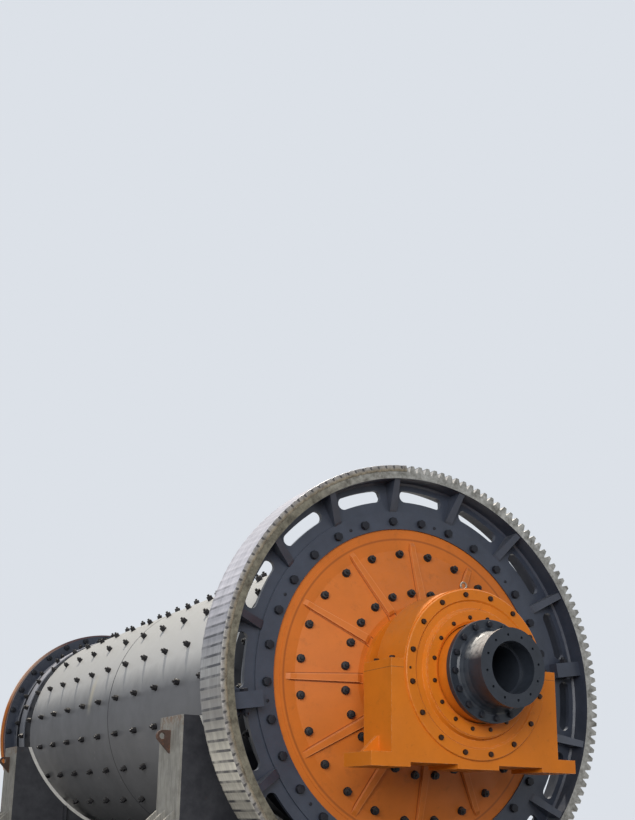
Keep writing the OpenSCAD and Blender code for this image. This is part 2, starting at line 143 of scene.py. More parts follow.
def length(name, description, default):
    """A size in metres that a user can change."""
    return bpy.props.FloatProperty(
        name=name, description=description, default=default, min=0.0, unit="LENGTH"
    )


def angle(name, description, degrees):
    """An angle that a user can change."""
    return bpy.props.FloatProperty(
        name=name, description=description, default=math.radians(degrees), subtype="ANGLE"
    )


def count(name, description, default):
    """A number of like pieces that a user can change."""
    return bpy.props.IntProperty(name=name, description=description, default=default, min=1)


def tint(name, description, code):
    """A colour that a user can change."""
    return bpy.props.FloatVectorProperty(
        name=name, description=description, default=linear(code), size=3, min=0.0, max=1.0, subtype="COLOR"
    )


class MillSizes(bpy.types.PropertyGroup):
    """Sizes of the fasteners and bands"""

    nut_width: length("Lining nut width", "Across the flats of a nut on the shell", 0.046)
    nut_height: length("Lining nut height", "From the shell to the top of the nut", 0.042)
    stud_height: length("Stud height", "From the shell to the end of the stud", 0.056)
    washer_radius: length("Washer radius", "Radius of the washer under a nut", 0.028)
    nut_row: angle("First row", "Angle of one row of nuts", 158.0)
    nut_rows: count("Rows", "Rows of nuts round the shell", 22)
    nut_rings: count("Rings", "Rings of nuts along the shell", 14)
    ring_pitch: length("Ring pitch", "Distance between two rings of nuts", 0.500)
    ring_start: length("First ring", "From the gear end of the shell to its first ring of nuts", 0.250)
    head_nut_width: length("Head nut width", "Across the flats of a nut on a head", 0.048)
    outer_nut_circle: length("Outer nut circle", "Radius of the outer nuts on a head", 0.967)
    inner_nut_circle: length("Inner nut circle", "Radius of the inner nuts on a head", 0.655)
    flange_bolt_width: length("Flange bolt width", "Across the flats of a bolt in the gear's hub", 0.055)
    hub_circle: length("Hub bolt circle", "Radius of the bolts through the gear's hub", 1.223)
    rim_circle: length("Rim bolt circle", "Radius of the bolts through the plain flange", 1.236)
    cover_circle: length("Cover bolt circle", "Radius of the bolts in a bearing cover", 0.540)
    seal_circle: length("Seal bolt circle", "Radius of the bolts in a seal ring", 0.380)
    spout_circle: length("Spout bolt circle", "Radius of the bolts in a spout's flange", 0.311)
    film_start: angle("Film start", "Angle where the film on the teeth starts", 95.0)
    film_end: angle("Film end", "Angle where the film on the teeth ends", 268.0)
    collar_wall: length("Collar wall", "How far the end collar stands over the shell", 0.015)


class MillColours(bpy.types.PropertyGroup):
    """Colours of the paints and metals"""

    shell: tint("Shell enamel", "Mid-grey machinery enamel", "#757679")
    charcoal: tint("Charcoal enamel", "Blue-grey gloss enamel of the gear, flanges and spouts", "#373D4A")
    head: tint("Head enamel", "Orange enamel of the heads", "#CB6F24")
    housing: tint("Housing enamel", "Orange enamel of the bearings", "#D5781E")
    steel: tint("Cut steel", "Cut flanks of the teeth", "#B9B7B4")
    fastener: tint("Black fasteners", "Black finish of nuts and bolts", "#1C1B1E")
    cradle: tint("Cradle primer", "Grey primer of the posts", "#908E87")
    film: tint("Transit film", "Milky stretch film over the teeth", "#C2C2CC")
    dust: tint("Site dust", "Pale dust that lies on the faces that look up", "#A49F94")


def add(tree, kind, inputs=None, stops=(), **settings):
    """Adds one node, sets its properties and the stops of its ramp, and fills or links its inputs by name or
    number. A node among the inputs stands for its first output."""
    node = tree.nodes.new(kind)
    for key, value in settings.items():
        setattr(node, key, value)
    for key, value in (inputs or {}).items():
        socket = node.inputs[key]
        if isinstance(value, bpy.types.Node):
            value = value.outputs[0]
        if isinstance(value, bpy.types.NodeSocket):
            tree.links.new(value, socket)
        else:
            socket.default_value = rgba(value) if socket.type == "RGBA" else value
    if stops:
        ramp = node.color_ramp.elements
        ramp.remove(ramp[1])
        ramp[0].position, ramp[0].color = stops[0][0], rgba(stops[0][1])
        for position, colour in stops[1:]:
            ramp.new(position).color = rgba(colour)
    return node


def per_metre(millimetres):
    """Pattern scale whose features are this many millimetres across."""
    return 1000.0 / millimetres


def begin_finish(name):
    """An empty material's tree, and where its surface is and which way it looks, in the object's own axes:
    place with x, y and z, and normal with its parts along the drum and up."""
    material = bpy.data.materials.new(name)
    material.use_nodes = True
    tree = material.node_tree
    tree.nodes.clear()
    where = add(tree, "ShaderNodeTexCoord").outputs
    place, normal = where["Object"], where["Normal"]
    x, y, z = add(tree, "ShaderNodeSeparateXYZ", {0: place}).outputs
    _, along, up = add(tree, "ShaderNodeSeparateXYZ", {0: normal}).outputs
    return tree, SimpleNamespace(place=place, x=x, y=y, z=z, normal=normal, along=along, up=up)


def end_finish(tree, at, colour, grain_mm, height_mm, smooth, rough, metallic=0.0, shine=0.5, under=None):
    """Joins a colour to the material's shader. Its relief has grains of grain_mm, height_mm high, over a
    coarser relief if there is one under it. Its roughness wanders between two values."""
    grain = add(tree, "ShaderNodeTexNoise", {"Vector": at.place, "Scale": per_metre(grain_mm), "Detail": 3.0})
    relief = add(tree, "ShaderNodeBump", {"Height": grain, "Distance": height_mm / 1000.0, "Strength": 0.8})
    if under:
        tree.links.new(under.outputs[0], relief.inputs["Normal"])
    shader = add(tree, "ShaderNodeBsdfPrincipled", {
        "Base Color": colour, "Metallic": metallic, "Specular IOR Level": shine, "Normal": relief,
        "Roughness": patches(tree, at.place, 180.0, 0.3, 0.7, smooth, rough, 5.0, 0.5),
    })
    add(tree, "ShaderNodeOutputMaterial", {"Surface": shader})


def patches(tree, place, patch_mm, start, full, least=0.0, most=1.0, detail=9.0, roughness=0.75):
    """Soft patches patch_mm across: a noise whose levels from start to full go from least to most."""
    noise = add(
        tree, "ShaderNodeTexNoise",
        {"Vector": place, "Scale": per_metre(patch_mm), "Detail": detail, "Roughness": roughness},
    )
    return add(
        tree, "ShaderNodeMapRange",
        {"Value": noise, "From Min": start, "From Max": full, "To Min": least, "To Max": most},
    )


def mottled(tree, place, patch_mm, roughness, *stops):
    """Tones that change in patches patch_mm across, from the stops of a ramp."""
    noise = add(
        tree, "ShaderNodeTexNoise",
        {"Vector": place, "Scale": per_metre(patch_mm), "Detail": 9.0, "Roughness": roughness},
    )
    return add(tree, "ShaderNodeValToRGB", {0: noise}, stops)


def blotched(tree, at, colour, blotch_mm, depth):
    """The colour made lighter and darker in soft blotches, by up to depth of its value."""
    tone = patches(tree, at.place, blotch_mm, 0.28, 0.72, 1.0 - depth, 1.0 + depth, 6.0, 0.62)
    return add(tree, "ShaderNodeHueSaturation", {"Value": tone, "Color": colour})


def covered(tree, colour, over, *shares):
    """One colour laid over another by the product of its shares. A share is a number, a socket or a node, or
    follows a value: (value, where it starts, where it is full), then its least and most if not 0 and 1."""
    product = None
    for share in shares:
        if isinstance(share, tuple):
            value, start, full, *ends = share
            least, most = ends or (0.0, 1.0)
            share = add(
                tree, "ShaderNodeMapRange",
                {"Value": value, "From Min": start, "From Max": full, "To Min": least, "To Max": most},
            )
        if product is not None:
            share = add(tree, "ShaderNodeMath", {0: product, 1: share}, operation="MULTIPLY")
        product = share
    return add(tree, "ShaderNodeMix", {0: product, 6: colour, 7: over}, data_type="RGBA").outputs[2]


def dusted(tree, at, colour, dust, share, grain_mm=35.0):
    """Dust laid over a colour where the surface looks up, thicker and thinner in small patches."""
    broken = patches(tree, at.place, grain_mm, 0.3, 0.66, detail=8.0, roughness=0.7)
    return covered(tree, colour, dust, (at.up, 0.15, 0.98, 0.0, share), broken)


def rubbed(tree, at, colour, bare, width_mm):
    """A bare colour in chips along the edges: where the surface, rounded over width_mm, turns away from the
    flat one."""
    rounded = add(tree, "ShaderNodeBevel", {"Radius": width_mm / 1000.0}, samples=4)
    flat = add(tree, "ShaderNodeNewGeometry").outputs["Normal"]
    turn = add(tree, "ShaderNodeVectorMath", {0: rounded, 1: flat}, operation="DOT_PRODUCT").outputs[1]
    chips = patches(tree, at.place, 22.0, 0.42, 0.6, detail=6.0, roughness=0.5)
    return covered(tree, colour, bare, (turn, 0.99, 0.86), chips)


def from_axis(tree, at):
    """Distance of the surface from the drum's axis."""
    centred = add(tree, "ShaderNodeVectorMath", {0: at.place, 1: (0.0, 0.0, AXIS)}, operation="SUBTRACT")
    flat = add(tree, "ShaderNodeVectorMath", {0: centred, 1: (1.0, 0.0, 1.0)}, operation="MULTIPLY")
    return add(tree, "ShaderNodeVectorMath", {0: flat}, operation="LENGTH").outputs[1]


def away_from(tree, value, middle):
    """How far a value lies from a middle one, on either side."""
    off = add(tree, "ShaderNodeMath", {0: value, 1: middle}, operation="SUBTRACT")
    return add(tree, "ShaderNodeMath", {0: off}, operation="ABSOLUTE")


def on_shell(y, degrees):
    """Point on the shell at a distance along it and an angle round it."""
    a = math.radians(degrees)
    return (SHELL_RADIUS * math.cos(a), y, AXIS + SHELL_RADIUS * math.sin(a))


def shell_enamel(colours):
    """Mid-grey machinery enamel sprayed on rolled plate: a semi-gloss skin with faint waves, dust and a
    painted sheen on its upper side, palest on the upper flank, a few scuffs and one pale run beside the weld."""
    tree, at = begin_finish("shell_enamel")
    colour = blotched(tree, at, colours.shell, 420.0, 0.10)
    cloud = add(tree, "ShaderNodeTexNoise", {"Vector": at.place, "Scale": per_metre(170.0), "Detail": 6.0})
    # Painted sheen with the dust: the upper side is made pale, palest on its upper flank
    dust_and_sheen_share = add(tree, "ShaderNodeMath", {0: cloud, 1: 0.10, 2: at.up}, operation="MULTIPLY_ADD")
    dust = add(
        tree, "ShaderNodeValToRGB", {0: at.up}, [(0.30, "#BDBEBE"), (0.70, "#ABACAB"), (1.0, "#9C9C99")]
    )
    colour = covered(tree, colour, dust, (dust_and_sheen_share, 0.13, 0.36))
    # Scuffs and run have ragged edges: up to 15 mm is added to or taken from the distance to them
    ragged = add(tree, "ShaderNodeTexNoise", {"Vector": at.place, "Scale": per_metre(14.0), "Detail": 4.0})
    jitter = add(tree, "ShaderNodeMath", {0: ragged, 1: 0.03, 2: -0.015}, operation="MULTIPLY_ADD")
    for y, degrees in SCUFFS:
        off = add(tree, "ShaderNodeVectorMath", {0: at.place, 1: on_shell(y, degrees)}, operation="DISTANCE")
        torn = add(tree, "ShaderNodeMath", {0: off.outputs[1], 1: jitter}, operation="ADD")
        colour = covered(tree, colour, "#8B8B8C", (torn, 0.016, 0.008))
    torn = add(tree, "ShaderNodeMath", {0: away_from(tree, at.y, RUN_ALONG), 1: jitter}, operation="ADD")
    left = add(tree, "ShaderNodeMath", {0: at.x, 1: 0.0}, operation="LESS_THAN")
    colour = covered(
        tree, colour, "#C9C3AF",
        (at.z, AXIS, AXIS + 0.16), (at.z, AXIS + 0.45, AXIS + 0.28), left, (torn, 0.085, 0.0, 0.0, 0.75),
    )
    wave = add(tree, "ShaderNodeTexNoise", {"Vector": at.place, "Scale": per_metre(340.0), "Detail": 1.0})
    plate = add(tree, "ShaderNodeBump", {"Height": wave, "Distance": 0.006, "Strength": 0.5})
    # Orange peel is about 2 mm on a real spray coat; it is drawn at 9 mm so that the render shows it
    end_finish(tree, at, colour, 9.0, 0.5, 0.36, 0.50, shine=0.08, under=plate)


def charcoal_enamel(colours):
    """Blue-grey gloss enamel on turned and cast steel: clear reflections, dust on ledges, thin on edges."""
    tree, at = begin_finish("charcoal_enamel")
    colour = blotched(tree, at, colours.charcoal, 160.0, 0.16)
    colour = dusted(tree, at, colour, colours.dust, 0.24)
    colour = rubbed(tree, at, colour, "#6E6C6A", 5.0)
    end_finish(tree, at, colour, 8.0, 0.4, 0.22, 0.40)


def gear_steel(colours):
    """Cast gear: charcoal enamel on web and bore, mottled bare casting on the rim's faces, greasy on the
    left, milled bright flanks, and tooth tips left dark by the casting skin."""
    tree, at = begin_finish("gear_steel")
    paint = blotched(tree, at, colours.charcoal, 150.0, 0.20)
    paint = dusted(tree, at, paint, colours.dust, 0.22)
    radius = from_axis(tree, at)
    rim = add(tree, "ShaderNodeMath", {0: radius, 1: GEAR_BORE + 0.001}, operation="GREATER_THAN")
    tooth = add(tree, "ShaderNodeMath", {0: radius, 1: GEAR_ROOT - 0.004}, operation="GREATER_THAN")
    square = add(tree, "ShaderNodeMapRange", {
        "Value": away_from(tree, at.along, 0.0), "From Min": 0.6, "From Max": 0.8,
    })
    bare = add(tree, "ShaderNodeMath", {0: square, 1: rim}, operation="MULTIPLY")
    flank = blotched(tree, at, colours.steel, 60.0, 0.12)
    skin = blotched(tree, at, "#57565C", 40.0, 0.18)
    cut = covered(tree, flank, skin, (radius, GEAR_OUTER - 0.008, GEAR_OUTER - 0.003))
    casting = mottled(tree, at.place, 55.0, 0.70, (0.34, "#68665F"), (0.64, "#B6B5AF"))
    greasy = mottled(tree, at.place, 55.0, 0.70, (0.34, "#4A453A"), (0.64, "#85806F"))
    colour = covered(tree, paint, cut, tooth)
    colour = covered(tree, colour, covered(tree, casting, greasy, (at.x, -0.2, -1.0)), bare)
    metal = add(tree, "ShaderNodeMath", {0: bare, 1: tooth}, operation="MAXIMUM")
    metal = add(tree, "ShaderNodeMath", {0: metal, 1: 0.45}, operation="MULTIPLY")
    end_finish(tree, at, colour, 10.0, 0.7, 0.30, 0.48, metallic=metal)


def head_enamel(colours):
    """Orange enamel on a steel casting: satin, with soft dirt in blotches, a painted highlight on the ribs'
    edges and painted shade in the corners beside them, and a rim with a painted highlight at half height and
    charcoal above."""
    tree, at = begin_finish("head_enamel")
    colour = blotched(tree, at, colours.head, 260.0, 0.09)
    colour = covered(tree, colour, "#7E4A22", patches(tree, at.place, 90.0, 0.55, 0.78, 0.0, 0.45, 9.0, 0.72))
    radius = from_axis(tree, at)
    height = add(tree, "ShaderNodeMath", {0: at.z, 1: AXIS}, operation="SUBTRACT")
    # Distance from a rib's side: the angle is folded on the ribs' pitch, and a rib is narrower further out
    turn = add(tree, "ShaderNodeMath", {0: height, 1: at.x}, operation="ARCTAN2")
    turn = add(tree, "ShaderNodeMath", {0: turn, 1: math.radians(HEAD_RIB_ANGLE)}, operation="SUBTRACT")
    apart = add(tree, "ShaderNodeMath", {0: turn, 1: math.pi / HEAD_RIBS}, operation="PINGPONG")
    aside = add(tree, "ShaderNodeMath", {0: apart, 1: radius}, operation="MULTIPLY")
    half_rib = add(tree, "ShaderNodeMapRange", {
        "Value": radius, "From Min": CONE_INNER, "From Max": HEAD_BAND,
        "To Min": HEAD_RIB_FOOT, "To Max": HEAD_RIB_TIP,
    })
    aside = add(tree, "ShaderNodeMath", {0: aside, 1: half_rib}, operation="SUBTRACT")
    # A line's middle and half width beside the rib's side, its share and its colour: a painted highlight on
    # the rib's edge, painted shade in the corner beside it
    for middle, half, share, code in ((-0.0020, 0.0030, 0.30, "#F0A468"), (0.0055, 0.0045, 0.60, "#6A3414")):
        line = add(tree, "ShaderNodeMath", {0: aside, 1: middle, 2: half}, operation="COMPARE")
        colour = covered(tree, colour, code, line, (radius, HEAD_BAND - 0.013, HEAD_BAND - 0.068), share)
    colour = covered(tree, colour, "#7A3C16", (away_from(tree, radius, HEAD_BAND), 0.011, 0.003, 0.0, 0.55))
    # The rim's face: a painted highlight, pale at half height, and charcoal towards the top
    level = add(tree, "ShaderNodeMapRange", {"Value": height, "From Min": 0.30, "From Max": 1.16})
    rim_painted_highlight = add(
        tree, "ShaderNodeValToRGB", {0: level},
        [(0.0, "#D07A35"), (0.25, "#EBC0A2"), (0.65, "#DDBBA5"), (1.0, "#3C4150")],
    )
    rim, side = (radius, HEAD_EDGE, HEAD_EDGE + 0.006), (at.along, 0.6, 0.3, 0.0, 0.85)
    colour = covered(tree, colour, rim_painted_highlight, rim, side)
    colour = dusted(tree, at, colour, colours.dust, 0.35)
    end_finish(tree, at, colour, 9.0, 0.8, 0.40, 0.55, shine=0.4)


def housing_enamel(colours):
    """Orange enamel on a ground steel casting: satin gloss, paler on its edges, where it is thin and where a
    highlight is painted, a fine split between cap and base."""
    tree, at = begin_finish("housing_enamel")
    colour = blotched(tree, at, colours.housing, 220.0, 0.08)
    colour = covered(tree, colour, "#7A4420", patches(tree, at.place, 70.0, 0.58, 0.80, 0.0, 0.5, 9.0, 0.72))
    # Paler orange on the edges: paint worn thin and a painted highlight
    colour = rubbed(tree, at, colour, "#E0A06A", 6.0)
    block = add(tree, "ShaderNodeMath", {0: from_axis(tree, at), 1: HOUSING_BLOCK}, operation="GREATER_THAN")
    split = (away_from(tree, at.z, AXIS), 0.0035, 0.0015, 0.0, 0.5)
    colour = covered(tree, colour, "#3A2010", split, block)
    colour = dusted(tree, at, colour, colours.dust, 0.22)
    end_finish(tree, at, colour, 8.0, 0.5, 0.30, 0.46, shine=0.28)


def spout_enamel():
    """Charcoal gloss enamel worn to grey steel on the upper left of the mouth, where slings rubbed it."""
    tree, at = begin_finish("spout_enamel")
    paint = blotched(tree, at, "#2C3139", 90.0, 0.2)
    facing = add(tree, "ShaderNodeVectorMath", {0: at.normal, 1: (-0.62, 0.0, 0.78)}, operation="DOT_PRODUCT")
    mouth = HALF_SHELL + SPOUT_FACE
    neck = (away_from(tree, at.y, 0.0), mouth + 0.02, mouth + 0.07)
    outside = add(tree, "ShaderNodeMath", {0: from_axis(tree, at), 1: SPOUT_BORE}, operation="GREATER_THAN")
    broken = patches(tree, at.place, 30.0, 0.30, 0.56)
    colour = covered(tree, paint, "#B2B0AC", (facing.outputs[1], 0.74, 0.95), neck, broken, outside)
    end_finish(tree, at, colour, 8.0, 0.4, 0.26, 0.40, shine=0.35)


def trunnion_enamel(colours):
    """Steel trunnion under the orange of the head, bright and oiled only where it runs in the bearing."""
    tree, at = begin_finish("trunnion_enamel")
    paint = blotched(tree, at, colours.housing, 120.0, 0.1)
    steel = blotched(tree, at, "#7C7B79", 90.0, 0.15)
    middle = HALF_SHELL + (HOUSING_BACK + HOUSING_FRONT) / 2
    half = (HOUSING_FRONT - HOUSING_BACK) / 2 + 0.01
    along = away_from(tree, at.y, 0.0)
    running = add(tree, "ShaderNodeMath", {0: along, 1: middle, 2: half}, operation="COMPARE")
    bore = add(tree, "ShaderNodeMath", {0: from_axis(tree, at), 1: TRUNNION_BORE}, operation="LESS_THAN")
    bare = add(tree, "ShaderNodeMath", {0: running, 1: bore}, operation="MAXIMUM")
    end_finish(tree, at, covered(tree, paint, steel, bare), 8.0, 0.4, 0.30, 0.44, metallic=bare)


def transit_film(colours):
    """Milky stretch film wound over the gear's teeth: streaked along its winding, its tone painted light and
    shade by height, pale above, greyer at half height and cream low down, a dark line where a tip shows
    through; over the tooth ends grey with painted shade over the gaps, then brown with grease."""
    tree, at = begin_finish("transit_film")
    # Painted light and shade: the film's tone follows height, pale above, greyer at half height, cream low
    # down
    level = add(tree, "ShaderNodeMapRange", {"Value": at.z, "From Min": 0.9, "From Max": 2.9})
    shade = add(tree, "ShaderNodeValToRGB", {0: level}, [
        (0.0, "#B5B1A6"), (0.13, "#E6E1D3"), (0.20, "#C3BFB3"), (0.29, "#8F8C88"), (0.38, "#8F8D8B"),
        (0.45, "#A5A5A4"), (0.55, "#909096"), (0.74, colours.film), (1.0, "#AAAAB4"),
    ])
    drawn = add(tree, "ShaderNodeMapping", {"Vector": at.place, "Scale": (0.05, 1.0, 0.05)})
    streak = patches(tree, drawn, 30.0, 0.3, 0.7, 0.78, 1.14, 5.0, 0.5)
    film = add(tree, "ShaderNodeHueSaturation", {"Value": streak, "Color": shade})
    film = blotched(tree, at, film, 80.0, 0.10)
    touch, gap, fold = (
        add(tree, "ShaderNodeAttribute", attribute_name=name).outputs["Fac"] for name in FILM_LAYERS
    )
    clear = patches(tree, at.place, 120.0, 0.34, 0.56, 0.3, 1.0, 6.0, 0.5)
    tight = (at.z, 2.60, 2.05, 0.10, 1.0)
    colour = covered(tree, film, "#333338", (touch, 0.08, 0.42), clear, tight)
    dull = mottled(tree, at.place, 45.0, 0.75, (0.38, "#6D6A69"), (0.60, "#A5A19B"))
    grease = mottled(tree, at.place, 45.0, 0.75, (0.36, "#544D3F"), (0.58, "#968C78"))
    folded = covered(tree, dull, grease, (fold, 0.35, 0.8))
    # Painted shade: dark where the fold hangs over a gap between teeth
    folded = covered(tree, folded, "#2B2A2D", (gap, 0.12, 0.45, 0.0, 0.85))
    colour = covered(tree, colour, folded, (at.along, -0.5, -0.9))
    end_finish(tree, at, colour, 16.0, 0.8, 0.34, 0.48)


def turned_steel(name, code, metallic, smooth, rough):
    """Metal turned on a lathe: fine rings round the axis, drawn 6 mm apart so that the render shows them."""
    tree, at = begin_finish(name)
    rings = add(
        tree, "ShaderNodeTexWave",
        {"Vector": at.place, "Scale": per_metre(6.0) / 6.28, "Distortion": 0.3, "Detail": 1.0},
        bands_direction="Y",
    )
    cut = add(tree, "ShaderNodeBump", {"Height": rings.outputs[1], "Distance": 0.0004, "Strength": 0.5})
    colour = blotched(tree, at, code, 120.0, 0.14)
    end_finish(tree, at, colour, 9.0, 0.2, smooth, rough, metallic, under=cut)


def raw_steel(name, dark, pale, rust, rust_share, smooth, rough, metallic):
    """Rolled or cast steel left outdoors: mill scale in two greys with rust breaking through in patches."""
    tree, at = begin_finish(name)
    scale = mottled(tree, at.place, 110.0, 0.68, (0.36, dark), (0.66, pale))
    bloom = patches(tree, at.place, 65.0, 0.66 - 0.3 * rust_share, 0.76 - 0.3 * rust_share, detail=10.0)
    end_finish(tree, at, covered(tree, scale, rust, bloom), 7.0, 0.9, smooth, rough, metallic)


def saddle_strip():
    """Rolled strip under the shell: cut edges scraped bright, its curved faces dark with painted shade."""
    tree, at = begin_finish("saddle_strip")
    bright = blotched(tree, at, "#DAD8D2", 60.0, 0.15)
    dull = blotched(tree, at, "#3E3F42", 90.0, 0.2)
    # Painted shade: the curved faces are dark, the cut edges bright
    colour = covered(tree, dull, bright, (away_from(tree, at.along, 0.0), 0.6, 0.8))
    end_finish(tree, at, colour, 7.0, 0.8, 0.42, 0.58)


def cradle_primer(colours):
    """Grey primer brushed on cut plate: matt, streaked downward, worn to bright and rusty steel along its top
    edges."""
    tree, at = begin_finish("cradle_primer")
    colour = blotched(tree, at, colours.cradle, 110.0, 0.24)
    drawn = add(tree, "ShaderNodeMapping", {"Vector": at.place, "Scale": (1.0, 1.0, 0.09)})
    colour = covered(tree, colour, "#4E4A45", patches(tree, drawn, 24.0, 0.48, 0.72, 0.0, 0.62, 5.0, 0.6))
    colour = rubbed(tree, at, colour, "#A3A09A", 9.0)
    top = (at.z, 1.42, 1.55, 0.0, 0.9)
    colour = covered(tree, colour, "#7A5A40", top, patches(tree, at.place, 38.0, 0.48, 0.58))
    colour = dusted(tree, at, colour, colours.dust, 0.5)
    end_finish(tree, at, colour, 7.0, 0.8, 0.55, 0.75)


def black_fastener(colours):
    """Nuts and bolts with a black oiled finish: near black, a dull metal gleam, dust and a painted highlight
    on the upper sides.
    """
    tree, at = begin_finish("black_fastener")
    colour = blotched(tree, at, colours.fastener, 30.0, 0.3)
    # Dust and a painted highlight: the upper sides are made pale
    colour = dusted(tree, at, colour, colours.dust, 0.30, 12.0)
    end_finish(tree, at, colour, 6.0, 0.4, 0.46, 0.62, metallic=0.15, shine=0.35)


def painted_fastener(name, code, shine=0.25):
    """Bolt heads painted over with their part: the paint's colour, a little darker where it is thin."""
    tree, at = begin_finish(name)
    end_finish(tree, at, blotched(tree, at, code, 20.0, 0.25), 6.0, 0.4, 0.36, 0.5, shine=shine)


def collar_aluminium():
    """Bare sheet collar brushed round the shell, with painted light: bright higher up, dull and dark towards
    its underside."""
    tree, at = begin_finish("collar_aluminium")
    drawn = add(tree, "ShaderNodeMapping", {"Vector": at.place, "Scale": (0.05, 1.0, 0.05)})
    grain = add(tree, "ShaderNodeTexNoise", {"Vector": drawn, "Scale": per_metre(9.0), "Detail": 4.0})
    # Painted light: paler the higher the surface lies
    lit = add(tree, "ShaderNodeMapRange", {"Value": at.z, "From Min": 1.9, "From Max": 2.75})
    tone = add(tree, "ShaderNodeMath", {0: grain, 1: 0.35, 2: lit}, operation="MULTIPLY_ADD")
    colour = add(tree, "ShaderNodeValToRGB", {0: tone}, [(0.12, "#5A5E66"), (0.8, "#B2B2B9")])
    end_finish(tree, at, colour, 9.0, 0.3, 0.32, 0.45, metallic=0.35)


def finishes():
    """Every finish, made once."""
    if "shell_enamel" not in bpy.data.materials:
        colours = bpy.context.scene.mill_colours
        for make in (
            shell_enamel, charcoal_enamel, gear_steel, head_enamel, housing_enamel, trunnion_enamel,
            transit_film, cradle_primer, black_fastener,
        ):
            make(colours)
        spout_enamel()
        saddle_strip()
        collar_aluminium()
        turned_steel("bearing_bronze", "#8C7446", 1.0, 0.30, 0.44)
        turned_steel("zinc_fitting", "#8C867B", 0.8, 0.42, 0.56)
        raw_steel("manganese_lining", "#3B3936", "#5C5955", "#6A4630", 0.35, 0.42, 0.6, 0.5)
        raw_steel("cradle_plate", "#26272D", "#3A3B40", "#4A3428", 0.10, 0.5, 0.7, 0.0)
        raw_steel("rusty_eye", "#3A2A23", "#523C32", "#6E452A", 0.35, 0.7, 0.85, 0.0)
        painted_fastener("charcoal_bolt", "#1E2027")
        painted_fastener("housing_bolt", "#301C10")
        painted_fastener("band_black", "#15171D", 0.04)
        painted_fastener("weld_bead", "#4C4D50", 0.08)
    return bpy.data.materials


def solid(name, points, groups, material, body, sharp=40.0):
    """One mesh from points and groups of faces, which are turned if the volume they enclose is negative."""
    volume = 0.0
    for group in groups:
        for k in range(1, group.shape[1] - 1):
            crossed = np.cross(points[group[:, k]], points[group[:, k + 1]])
            volume += float(np.einsum("ij,ij->", points[group[:, 0]], crossed))
    if volume < 0:
        groups = [group[:, ::-1] for group in groups]
    mesh = bpy.data.meshes.new(name)
    mesh.from_pydata(points.tolist(), [], [face for group in groups for face in group.tolist()])
    mesh.polygons.foreach_set("use_smooth", np.ones(len(mesh.polygons), bool))
    mesh.set_sharp_from_angle(angle=math.radians(sharp))
    mesh.materials.append(finishes()[material])
    made = bpy.data.objects.new(name, mesh)
    bpy.context.scene.collection.objects.link(made)
    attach(made, body)
    return made


def tube_faces(rows, columns, closed=False):
    """Quads of a grid of points whose rows are loops: each point, the next in its loop, and the two above
    them. A closed grid's last row joins its first."""
    index = np.arange(rows * columns).reshape(rows, columns)
    low, high = index[:-1], index[1:]
    if closed:
        low, high = index, np.roll(index, -1, 0)
    return np.stack([low, np.roll(low, -1, 1), np.roll(high, -1, 1), high], -1).reshape(-1, 4)


def stacked(rings):
    """One closed fastener of twelve-sided rings stacked along its axis. A ring is (half width, height,
    flats). A round ring's points lie at its half width, a hexagon's at half width / cos(angle from the
    nearest flat)."""
    turn = np.radians(np.arange(12) * 30.0)
    from_flat = (turn + math.pi / 6) % (math.pi / 3) - math.pi / 6
    half, height, flats = (np.array(column, float) for column in zip(*rings))
    radius = half[:, None] / np.where(flats[:, None] > 0, np.cos(from_flat), 1.0)
    level = np.broadcast_to(height[:, None], radius.shape)
    points = np.stack([radius * np.cos(turn), radius * np.sin(turn), level], -1).reshape(-1, 3)
    last = np.arange(12) + len(points) - 12
    return points, [tube_faces(len(rings), 12), np.stack([np.arange(12)[::-1], last])]


def nut(width, height, stud, washer):
    """A nut on a washer, with the end of its stud. Its foot is sunk 6 mm, because the surface curves away."""
    half = width / 2
    return stacked([
        (washer, -0.006, 0), (washer, 0.008, 0), (half, 0.008, 1), (half, height - 0.003, 1),
        (half * 0.52, height, 0), (half * 0.46, stud, 0),
    ])


def bolt_head(width, height, washer):
    """A bolt's head on its washer, chamfered at the top and sunk 4 mm."""
    half = width / 2
    return stacked([
        (washer, -0.004, 0), (washer, 0.004, 0), (half, 0.004, 1), (half, height - 0.002, 1),
        (half * 0.8, height, 0),
    ])


def placed(template, origin, outward, along, turn):
    """Copies of a template: each point is origin + x·side + y·along + z·outward, after a turn about z."""
    points, groups = template
    side = np.cross(along, outward)
    cos, sin = np.cos(turn)[:, None], np.sin(turn)[:, None]
    x = cos * points[:, 0] - sin * points[:, 1]
    y = sin * points[:, 0] + cos * points[:, 1]
    moved = (origin[:, None] + x[..., None] * side[:, None] + y[..., None] * along[:, None]
             + points[None, :, 2:] * outward[:, None])
    step = (np.arange(len(origin)) * len(points))[:, None, None]
    return moved.reshape(-1, 3), [(group[None] + step).reshape(-1, group.shape[1]) for group in groups]


def on_circle(radius, degrees, y, axial):
    """Places on circles about the drum's axis: (radius·cos a, y, axis + radius·sin a). The outward direction
    is radial·√(1 − axial²) + axial along the drum; the second direction runs round the circle."""
    a, y = (grid.ravel() for grid in np.meshgrid(np.radians(degrees), y))
    radial = np.stack([np.cos(a), np.zeros_like(a), np.sin(a)], -1)
    origin = radius * radial + np.stack([np.zeros_like(a), y, np.full_like(a, AXIS)], -1)
    outward = radial * math.sqrt(max(0.0, 1.0 - axial**2)) + np.array([0.0, axial, 0.0])
    round_about = np.stack([-np.sin(a), np.zeros_like(a), np.cos(a)], -1)
    return origin, outward, round_about


def at_end(radius, degrees, side, out):
    """Places on a circle about the drum's axis, at a distance outward from the shell's end and facing out."""
    return on_circle(radius, degrees, [side * (HALF_SHELL + out)], side)


